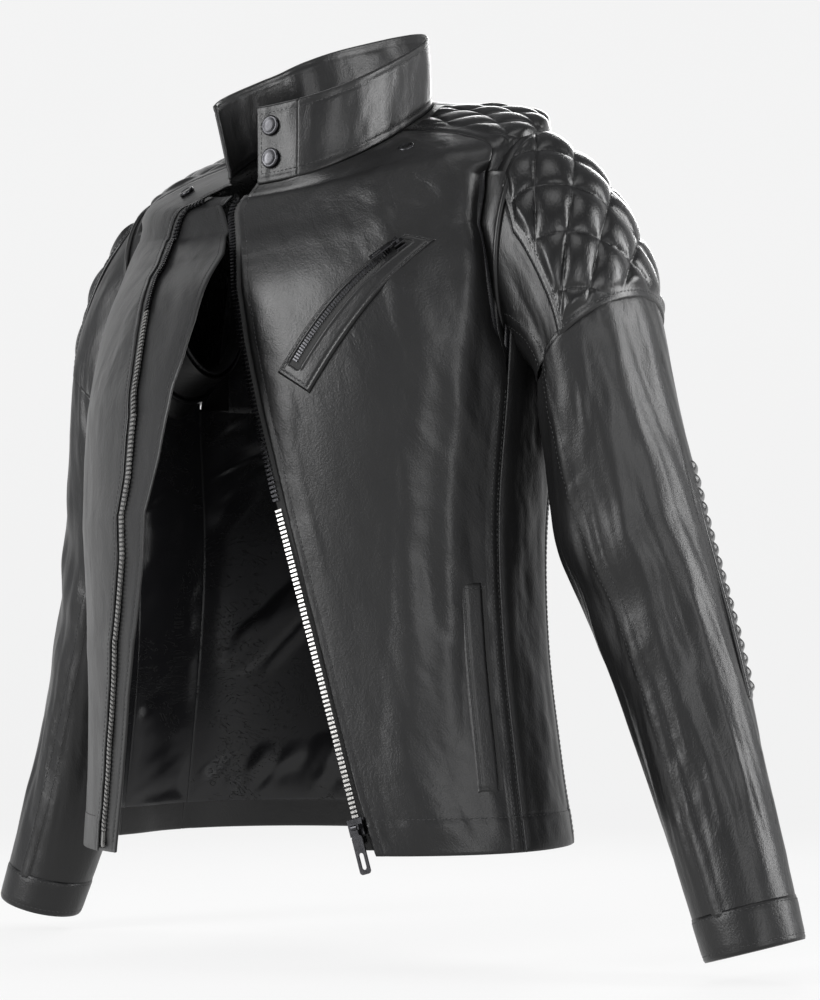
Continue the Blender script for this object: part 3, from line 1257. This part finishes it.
def build_pockets(look):
    tape = skin("chest_tape", MATS["tape"], pocket, -6.0, 6.0, -0.01, 1.01, 12, 80, lift=1.5, thick=0.6, tuck="")
    finish_piece(tape, "torso", nodes=("chest_zip_tape",))
    teeth = repeat("chest_teeth", "teeth", chest_tooth_places(look.tooth_pitch * 0.7), MATS["dark"], 1.3, 4.2, 1.4)
    finish_piece(teeth, "torso", nodes=("chest_zip_teeth",))
    chest = skin("chest_welt", MATS["leather"], pocket, -11.0, 22.0, -0.08, 1.08, 66, 200, shape=welt_relief,
                 thick=1.6, tuck="")
    finish_piece(chest, "torso", nodes=("chest_pocket_welt",))
    welt = skin("hand_welt", MATS["leather"], left_side, HAND_LEFT, HAND_RIGHT, 0.65, 2.47, 30, 130, lift=1.8,
                thick=1.4, tuck_deep=2.2, tuck_wide=1.5, shape=hand_welt_relief)
    finish_piece(welt, "torso", nodes=("hand_pocket_welt",))
    slit = skin("hand_slit", MATS["tape"], left_side, HAND_RIGHT - 0.1, HAND_RIGHT + 1.1, 0.68, 2.44, 6, 80,
                lift=0.5, thick=0.6, tuck="")
    finish_piece(slit, "torso")
    paint_node("pocket_bags", "cotton")
    paint_node("hanger_loop", "leather")


# ------------------------------------------------------------------ snaps
def lathe(name, mat, profile, at, n, steps=48):
    """Turn a profile (radius, height in millimetres) round the normal n at a point in millimetres."""
    n = Vector(n).normalized()
    a = n.orthogonal().normalized()
    b = n.cross(a)
    at = Vector(at)
    verts = [at + n * profile[0][1]]
    for r, z in profile[1:-1]:
        for i in range(steps):
            t = 2 * math.pi * i / steps
            verts.append(at + (a * math.cos(t) + b * math.sin(t)) * r + n * z)
    verts.append(at + n * profile[-1][1])
    rings = len(profile) - 2
    faces = []
    for i in range(steps):
        j = (i + 1) % steps
        faces.append((0, 1 + i, 1 + j))
        for k in range(rings - 1):
            o, p = 1 + k * steps, 1 + (k + 1) * steps
            faces.append((o + i, p + i, p + j, o + j))
        last = 1 + (rings - 1) * steps
        faces.append((last + i, len(verts) - 1, last + j))
    return object_from(name, np.array([v[:] for v in verts]) / 1000.0, faces, mat)


def point_normal(fn, u, v):
    u, v = np.array(float(u)), np.array(float(v))
    du = fn(u + 0.5, v) - fn(u - 0.5, v)
    dv = fn(u, v + 0.01) - fn(u, v - 0.01)
    n = np.cross(du.reshape(3), dv.reshape(3))
    return fn(u, v).reshape(3), n / np.linalg.norm(n)


def cap_profile(r, h):
    """Half section of a domed snap: a dished middle, a rim and a straight edge."""
    top = [(0, 0.80), (0.35, 0.80), (0.62, 0.84), (0.72, 1.0), (0.86, 1.04), (0.97, 0.8), (1.0, 0.45)]
    return [(r * a, h * b) for a, b in top] + [(r * 0.98, -0.6), (0, -0.6)]


def build_snaps(look):
    for i, (h, word) in enumerate(((SNAP_LOW, "low"), (SNAP_HIGH, "high"))):
        p, n = point_normal(collar, SNAP_U, h)
        cap = lathe("collar_snap_" + word, MATS["dark"], cap_profile(8.5, 2.6), p + n * 0.4, n)
        finish_piece(cap, "collar_tab", nodes=("collar_snap_caps",) if i == 0 else ())
        back = lathe("collar_socket_" + word, MATS["dark"], cap_profile(5.4, 2.2), p - n * 3.4, -n)
        finish_piece(back, "collar_tab", nodes=("collar_snap_sockets",) if i == 0 else ())
        p, n = point_normal(collar, COLLAR_RIGHT - 14, h)
        stud = lathe("collar_stud_" + word, MATS["dark"], cap_profile(4.4, 3.0), p + n * 0.3, n)
        finish_piece(stud, "torso", nodes=("fixed_snaps",) if i == 0 else ())
    for word, fn, u, s in (("left", left_side, 53.5, 9.6), ("right", right_side, -51.5, 9.25)):
        p, n = point_normal(fn, u, s)
        cap = lathe(word + "_lapel_snap", MATS["dark"], cap_profile(6.8, 2.4), p + n * 0.5, n)
        finish_piece(cap, "torso")


# ------------------------------------------------------------------ armholes: the turned edge and its piping
def armhole_turn(name, side, fn, edge):
    """The body's leather turned in from the armhole's edge down to the sleeve head."""
    s = np.linspace(4.25, YOKE_S + 0.05, 130)
    u = side * edge(s)
    along = fn(u, s + 0.01) - fn(u, s - 0.01)
    out = np.cross(fn(u + 0.4, s) - fn(u - 0.4, s), along)
    out /= np.linalg.norm(out, axis=1, keepdims=True)
    near = fn(u, s) - out * (1.2 + 8.0 * smooth((s - 4.2) / 0.5) * smooth((7.6 - s) / 0.3))[:, None]
    ring = sleeve(side)(np.linspace(0, 360, 1441), 0.15 + np.zeros(1441))
    far = ring[np.argmin(np.linalg.norm(near[:, None] - ring[None], axis=-1), axis=1)]
    w = np.linspace(0.0, 1.0, 8)[:, None, None]
    P = near * (1 - w) + far * w + out * 2.0 * np.sin(np.pi * w)
    facing = normals(P)
    flip = 1 if np.sum(facing * out) > 0 else -1
    U, V = arc_uv(P)
    turn = closed_skin(name, MATS["leather"], P, facing * flip, U, V, 1.0, flip)
    return finish_piece(turn, across=shoulder_bend(side))


def build_piping(look):
    for side, word, fn in ((1, "left", left_side), (-1, "right", right_side)):
        armhole_turn(word + "_armhole_front", side, fn, arm_front)
        armhole_turn(word + "_armhole_back", side, left_side, arm_back)
    for side, word in ((1, "left"), (-1, "right")):
        fn = sleeve(side)
        th = np.linspace(0, 360, 181)
        P = fn(th, 0.2 + 0 * th)
        C = P.mean(0)
        N = P - C
        N /= np.linalg.norm(N, axis=1, keepdims=True)
        roll = bead(word + "_armhole_piping", MATS["leather"], P + N * 0.6, 2.6, N)
        finish_piece(roll, "torso")


# ------------------------------------------------------------------ stitching
SEAM_LINES = (3.0, 10.5)        # distance of the two rows of a lapped seam from its edge, millimetres
HEM_STITCH = 0.385              # station of the hem's row
EDGE_STITCH = 6.0               # distance of a row from a folded edge, millimetres


def degrees_for(mm):
    return mm / MM_PER_DEGREE


def cross_row(fn, low, high, station, steps, pitch, land, flip=1):
    """Places round the piece at one station, from one angle to another."""
    return places_on(fn, np.linspace(low, high, steps), np.full(steps, station), pitch, flip, land)


def front_stitches(look, pitch):
    land = on_skin("left_front")
    left = row_places(left_side, lambda s: left_edge(s) + degrees_for(EDGE_STITCH), 0.12, 10.6, pitch, land=land)
    left += cross_row(left_side, 31.5, 72.0, HEM_STITCH, 500, pitch, land)
    for off in SEAM_LINES:
        left += row_places(left_side, lambda s: SIDE_SEAM - degrees_for(off) + 0 * s, 0.1, 4.05, pitch, land=land)
    stitches("left_front_stitches", left, look, across=LEFT_FOLD)
    land = on_skin("right_front")
    right = row_places(right_side, lambda s: tooth_r(s) - EDGE_BACK - degrees_for(EDGE_STITCH), 0.12, 10.6, pitch,
                       land=land)
    right += cross_row(right_side, -72.0, -19.0, HEM_STITCH, 500, pitch, land)
    for off in SEAM_LINES:
        right += row_places(right_side, lambda s: degrees_for(off) - SIDE_SEAM + 0 * s, 0.1, 4.05, pitch, land=land)
    stitches("right_front_stitches", right, look, across=RIGHT_FOLD)
    under = row_places(right_side, lambda s: line(RIGHT_EDGE, s) - degrees_for(EDGE_STITCH), 0.1, 9.4, pitch,
                       land=on_skin("right_underlap"))
    stitches("underlap_stitches", under, look, across=RIGHT_FOLD)


def torso_stitches(look, pitch):
    land = on_skin("back", "back_yoke_skin", "left_side", "right_side")
    torso = cross_row(left_side, 73.0, 287.0, HEM_STITCH, 1500, pitch, land)
    for off in SEAM_LINES:
        for edge in (BACK_SEAM + degrees_for(off), 360 - BACK_SEAM - degrees_for(off)):
            torso += row_places(left_side, lambda s: edge + 0 * s, 0.1, 4.0, pitch, land=land)
    for station in (YOKE_S + 0.06, YOKE_S + 0.17):
        torso += cross_row(left_side, 123.0, 237.0, station, 900, pitch, land)
    land = on_skin("hand_welt")
    torso += row_places(left_side, lambda s: HAND_LEFT + degrees_for(3.6) + 0 * s, 0.70, 2.42, pitch, land=land)
    for station in (0.70, 2.42):
        torso += cross_row(left_side, 59.1, 64.8, station, 60, pitch, land)
    land = on_skin("chest_welt")
    for across in (-7.9, 18.7):
        torso += places_on(pocket, np.full(300, across), np.linspace(-0.05, 1.05, 300), pitch, land=land)
    for end in (-0.055, 1.055):
        torso += cross_row(pocket, -8.0, 19.0, end, 100, pitch, land)
    land = on_skin("collar")
    for height in COLLAR_ROWS:
        torso += cross_row(collar, FLAP_HINGE + 2, COLLAR_RIGHT - 2, height, 1500, pitch, land)
    stitches("torso_stitches", torso, look, "torso")


COLLAR_ROWS = (0.09, 0.905)     # the collar's two rows, as shares of its height


def tab_stitches(look, pitch):
    land = on_skin("collar_tab_skin")
    tab = []
    for height in COLLAR_ROWS:
        tab += cross_row(collar, COLLAR_LEFT + 2, FLAP_HINGE - 1, height, 200, pitch, land)
    tab += places_on(collar, np.full(200, COLLAR_LEFT + 2.6), np.linspace(*COLLAR_ROWS, 200), pitch, land=land)
    stitches("collar_tab_stitches", tab, look, "collar_tab")


def sleeve_stitches(side, look, pitch):
    word = "left" if side > 0 else "right"
    fn = sleeve(side)
    head, arm, cuff = [], [], []
    land = on_skin(word + "_head_skin", word + "_shoulder_pad")
    for mm in (-4.6, 4.6):
        head += row_places(fn, lambda t: seam_front(t) + np.degrees(mm / sleeve_radius(t)), 0.3, T_PATCH - 0.03,
                           pitch, side, land)
    for mm in (2.4, 8.0):
        head += row_places(fn, lambda t: patch_front(t, side) - np.degrees(mm / 70.0), 0.3, T_PATCH - 0.06, pitch,
                           side, land)
    head += cross_row(fn, -62.0, 86.0 if side > 0 else 48.0, T_PATCH - 0.03, 700, pitch, land, side)
    stitches(word + "_shoulder_stitches", head, look, across=shoulder_bend(side))
    land = on_skin(word + "_sleeve_skin")
    for mm in (-4.6, 4.6):
        arm += row_places(fn, lambda t: seam_front(t) + np.degrees(mm / sleeve_radius(t)), T_PATCH + 0.05,
                          T_CUFF - 0.05, pitch, side, land)
    for mm in (-4.2, 4.2):
        arm += row_places(fn, lambda t: SEAM_BACK + np.degrees(mm / sleeve_radius(t)), T_PATCH + 0.05,
                          T_CUFF - 0.05, pitch, side, land)
    stitches(word + "_sleeve_stitches", arm, look, across=elbow_bend(side))
    land = on_skin(word + "_cuff")
    for t0 in (T_CUFF + 0.012, T_END - 0.035):
        cuff += cross_row(fn, 0.0, 360.0, t0, 900, pitch, land, side)
    stitches(word + "_cuff_stitches", cuff, look, word + "_fore")


def build_stitches(look):
    pitch = look.stitch_length + 0.9
    front_stitches(look, pitch)
    torso_stitches(look, pitch)
    tab_stitches(look, pitch)
    for side in (1, -1):
        sleeve_stitches(side, look, pitch)


# ------------------------------------------------------------------ studio
AIM = Vector((0, -0.03, -0.33))             # the middle of the jacket
CAMERA = (1.0211, -1.4581, -0.545)
FLOOR_BELOW = 0.012                         # the floor lies this far under the hanging jacket
SWEEP = 1.6                                 # radius of the bend from floor to wall
LAMPS = (                                   # angle, height, distance, width, length, watts
    ("key_left", -58, 0.7, 2.3, 0.9, 2.0, 24), ("fill_front", 20, 0.3, 2.8, 0.8, 1.8, 8),
    ("side_right", 78, 0.6, 2.1, 0.6, 2.2, 20), ("top", 8, 2.3, 1.0, 1.6, 1.0, 4),
    ("rim_back", 165, 1.4, 2.3, 1.2, 1.2, 14))


def build_world(studio):
    """Pale light all round, softer from above, so that the shoulders and the chest stay deep black."""
    world = bpy.data.worlds.new("Studio")
    bpy.context.scene.world = world
    world.use_nodes = True
    tree = world.node_tree
    back = tree.nodes["Background"]
    back.inputs["Color"].default_value = (0.96, 0.97, 1.0, 1)
    way = tree.nodes.new("ShaderNodeTexCoord")
    part = tree.nodes.new("ShaderNodeSeparateXYZ")
    fall = tree.nodes.new("ShaderNodeMapRange")
    for key, value in (("From Min", 0.05), ("From Max", 0.7), ("To Min", studio.ambient), ("To Max", studio.zenith)):
        fall.inputs[key].default_value = value
    tree.links.new(way.outputs["Generated"], part.inputs[0])
    tree.links.new(part.outputs["Z"], fall.inputs["Value"])
    tree.links.new(fall.outputs["Result"], back.inputs["Strength"])


def build_floor(fwd, right):
    """A pale floor that sweeps up into a wall far behind."""
    floor_z = CAD_BOX[0].z - FLOOR_BELOW
    m = Mat("Studio floor", (0.1, 0.1, 0.1), 0.9)
    m.tint(m.noise(m.space("Object"), 3.0, 2.0), (0.095, 0.095, 0.095), (0.105, 0.105, 0.105))
    set_in(m.p, Emission_Color=(1.0, 1.0, 1.0, 1.0), Emission_Strength=0.83, Specular_IOR_Level=0.0)
    turns = [math.pi / 2 * i / 24 for i in range(25)]
    steps = [(3.2 + SWEEP * math.sin(a), SWEEP * (1 - math.cos(a))) for a in turns]
    profile = [(-7.0, 0.0), (-3.0, 0.0), (0.0, 0.0), (1.6, 0.0)] + steps + [(4.8, 6.0)]
    verts, faces = [], []
    cols = 9
    for y, z in profile:
        for j in range(cols):
            x = (j / (cols - 1) - 0.5) * 16.0
            verts.append(tuple(fwd * y + right * x + Vector((0, 0, floor_z + z))))
    for i in range(len(profile) - 1):
        for j in range(cols - 1):
            a = i * cols + j
            faces.append((a, a + 1, a + cols + 1, a + cols))
    object_from("studio_floor", verts, faces, m.m)


def build_lamp(studio, name, angle, height, dist, sx, sy, watts):
    light = bpy.data.lights.new(name, "AREA")
    light.shape = "RECTANGLE"
    light.size, light.size_y = sx, sy
    light.energy = watts * studio.light
    light.spread = math.radians(80)
    obj = link(bpy.data.objects.new(name, light))
    a = math.radians(studio.azimuth + angle)
    obj.location = AIM + Vector((math.sin(a), -math.cos(a), 0)) * dist + Vector((0, 0, height))
    obj.rotation_euler = (AIM - obj.location).to_track_quat("-Z", "Y").to_euler()


def build_studio(studio):
    build_world(studio)
    az, up = math.radians(studio.azimuth), math.radians(studio.pitch)
    fwd, right = Vector((-math.sin(az), math.cos(az), 0)), Vector((math.cos(az), math.sin(az), 0))
    build_floor(fwd, right)
    for lamp in LAMPS:
        build_lamp(studio, *lamp)
    cam = bpy.data.cameras.new("camera")
    cam.lens = studio.lens
    cam.sensor_width = 36.0
    cam.clip_start, cam.clip_end = 0.05, 60.0
    obj = link(bpy.data.objects.new("camera", cam))
    obj.location = CAMERA
    ahead = fwd * math.cos(up) + Vector((0, 0, math.sin(up)))
    obj.rotation_euler = ahead.to_track_quat("-Z", "Y").to_euler()
    scene = bpy.context.scene
    scene.camera = obj
    scene.view_settings.view_transform = "Standard"


# ------------------------------------------------------------------ settings, operators and panel
def number(name, description, default, **limits):
    """A property of the panel."""
    return bpy.props.FloatProperty(name=name, description=description, default=default, **limits)


class JacketLook(bpy.types.PropertyGroup):
    """Sizes, in millimetres, and finishes of the jacket's surface."""
    leather_tone: number("Leather tone", "Base tone of the black leather", 0.0038, min=0.0, max=0.3,
                         subtype="FACTOR")
    leather_gloss: number("Leather roughness", "Roughness of the smooth leather", 0.33, min=0.05, max=1.0,
                          subtype="FACTOR")
    quilt_pitch: number("Quilt pitch", "Width of one diamond, in millimetres", 36.0, min=10.0, max=80.0)
    quilt_rise: number("Quilt rise", "Height of one pillow, in millimetres", 6.5, min=0.0, max=12.0)
    rib_pitch: number("Rib pitch", "Spacing of the elbow ribs, in millimetres", 11.0, min=4.0, max=30.0)
    stitch_length: number("Stitch length", "Length of one stitch, in millimetres", 3.1, min=1.0, max=8.0)
    tooth_pitch: number("Tooth pitch", "Spacing of the zip teeth, in millimetres", 3.5, min=2.5, max=8.0)


class JacketStudio(bpy.types.PropertyGroup):
    """Camera and lights."""
    azimuth: number("Azimuth", "Camera direction round the jacket, in degrees", 34.0)
    pitch: number("Pitch", "Upward tilt of the camera, in degrees", 6.1)
    lens: number("Lens", "Focal length", 74.3, min=10.0, unit="CAMERA")
    light: number("Light", "Overall strength of the lamps", 0.62, min=0.0)
    ambient: number("Ambient", "Strength of the light from the sides", 0.86, min=0.0)
    zenith: number("Zenith", "Strength of the light from overhead", 0.25, min=0.0)


def step(idname, label, doc, work, group="jacket_look"):
    """Make an operator class for one group of pieces."""

    def execute(self, context):
        if not MATS:
            materials(context.scene.jacket_look)
        work(getattr(context.scene, group))
        return {"FINISHED"}
    parts = {"bl_idname": "jacket." + idname, "bl_label": label, "__doc__": doc,
             "bl_options": {"REGISTER", "UNDO"}, "execute": execute}
    return type("JACKET_OT_" + idname, (bpy.types.Operator,), parts)


STEPS = [
    step("left_front", "Left front", "Build the left front with its facing and lining", build_left_front),
    step("right_front", "Right front", "Build the right front with its underlap and lining",
         build_right_front),
    step("back", "Back and sides", "Build the back, its yoke and the side panels", build_back),
    step("yokes", "Quilted yokes", "Build the quilted shoulder yokes", build_yokes),
    step("left_sleeve", "Left sleeve", "Build the left sleeve", lambda look: build_sleeve(1, look)),
    step("right_sleeve", "Right sleeve", "Build the right sleeve", lambda look: build_sleeve(-1, look)),
    step("collar", "Collar", "Build the stand collar and its snap tab", build_collar),
    step("lining", "Lining", "Build the satin lining and hem bands", build_lining),
    step("zips", "Zips", "Build the zip teeth and tapes", build_zips),
    step("pockets", "Pockets", "Build the chest zip welts and the hand pocket", build_pockets),
    step("snaps", "Snaps", "Build the snap caps and studs", build_snaps),
    step("piping", "Piping", "Build the armhole piping", build_piping),
    step("stitching", "Stitching", "Sew the rows of stitches", build_stitches),
    step("studio", "Studio", "Build the floor, lights and camera", build_studio, "jacket_studio"),
]


class JACKET_PT_panel(bpy.types.Panel):
    """Buttons for the jacket's pieces."""
    bl_label = "Jacket"
    bl_idname = "JACKET_PT_panel"
    bl_space_type = "VIEW_3D"
    bl_region_type = "UI"
    bl_category = "Jacket"

    def draw(self, context):
        for group in (context.scene.jacket_look, context.scene.jacket_studio):
            for name in group.__annotations__:
                self.layout.prop(group, name)
        for cls in STEPS:
            self.layout.operator(cls.bl_idname)


CLASSES = [JacketLook, JacketStudio, *STEPS, JACKET_PT_panel]


def register():
    for cls in CLASSES:
        bpy.utils.register_class(cls)
    bpy.types.Scene.jacket_look = bpy.props.PointerProperty(type=JacketLook)
    bpy.types.Scene.jacket_studio = bpy.props.PointerProperty(type=JacketStudio)


def unregister():
    del bpy.types.Scene.jacket_look
    del bpy.types.Scene.jacket_studio
    for cls in reversed(CLASSES):
        bpy.utils.unregister_class(cls)


def main():
    register()
    for cls in STEPS:
        getattr(bpy.ops.jacket, cls.bl_idname.split(".")[1])()
    bpy.context.view_layer.update()


if __name__ == "__main__":
    main()
